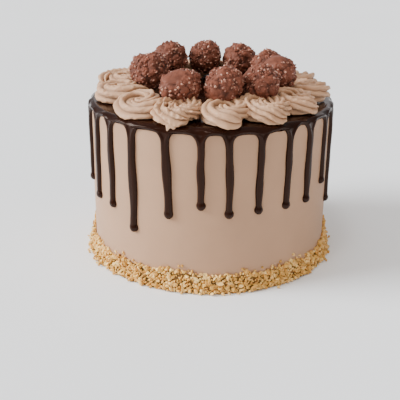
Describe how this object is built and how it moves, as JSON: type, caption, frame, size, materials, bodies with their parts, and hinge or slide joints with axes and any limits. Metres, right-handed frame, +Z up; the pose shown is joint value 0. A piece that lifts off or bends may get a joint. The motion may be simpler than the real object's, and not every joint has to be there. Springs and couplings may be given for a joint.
{
  "type": "drip cake",
  "caption": "Tall round buttercream cake with a chocolate glaze that drips down its side, piped rosettes, crunchy chocolate balls and a foot of chopped nuts.",
  "frame": {"origin": "centre of the cake's underside, at the bottom of its box", "axes": "+Z up, square to the top; -Y towards the front; +X to the right as seen from the front"},
  "size_m": [0.2185, 0.2178, 0.1702],
  "materials": {
    "buttercream_coat": "smooth pale cocoa buttercream, satin, with chopped nuts in pale tan at its foot",
    "chocolate_glaze": "dark chocolate glaze, glossy",
    "piped_buttercream": "piped pale cocoa buttercream, satin",
    "crunchy_chocolate": "milk chocolate over chopped nuts, knobbly with a soft sheen"
  },
  "bodies": {
    "root": {"cake": "buttercream_coat", "glaze": "chocolate_glaze", "rosette_01": "piped_buttercream", "rosette_02": "piped_buttercream", "rosette_03": "piped_buttercream", "rosette_04": "piped_buttercream", "rosette_05": "piped_buttercream", "rosette_06": "piped_buttercream", "rosette_07": "piped_buttercream", "rosette_08": "piped_buttercream", "rosette_09": "piped_buttercream", "rosette_10": "piped_buttercream", "rosette_11": "piped_buttercream", "rosette_12": "piped_buttercream", "rosette_13": "piped_buttercream", "ball_1": "crunchy_chocolate", "ball_2": "crunchy_chocolate", "ball_3": "crunchy_chocolate", "ball_4": "crunchy_chocolate", "ball_5": "crunchy_chocolate", "ball_6": "crunchy_chocolate", "ball_7": "crunchy_chocolate", "ball_8": "crunchy_chocolate", "ball_9": "crunchy_chocolate"}
  },
  "joints": []
}
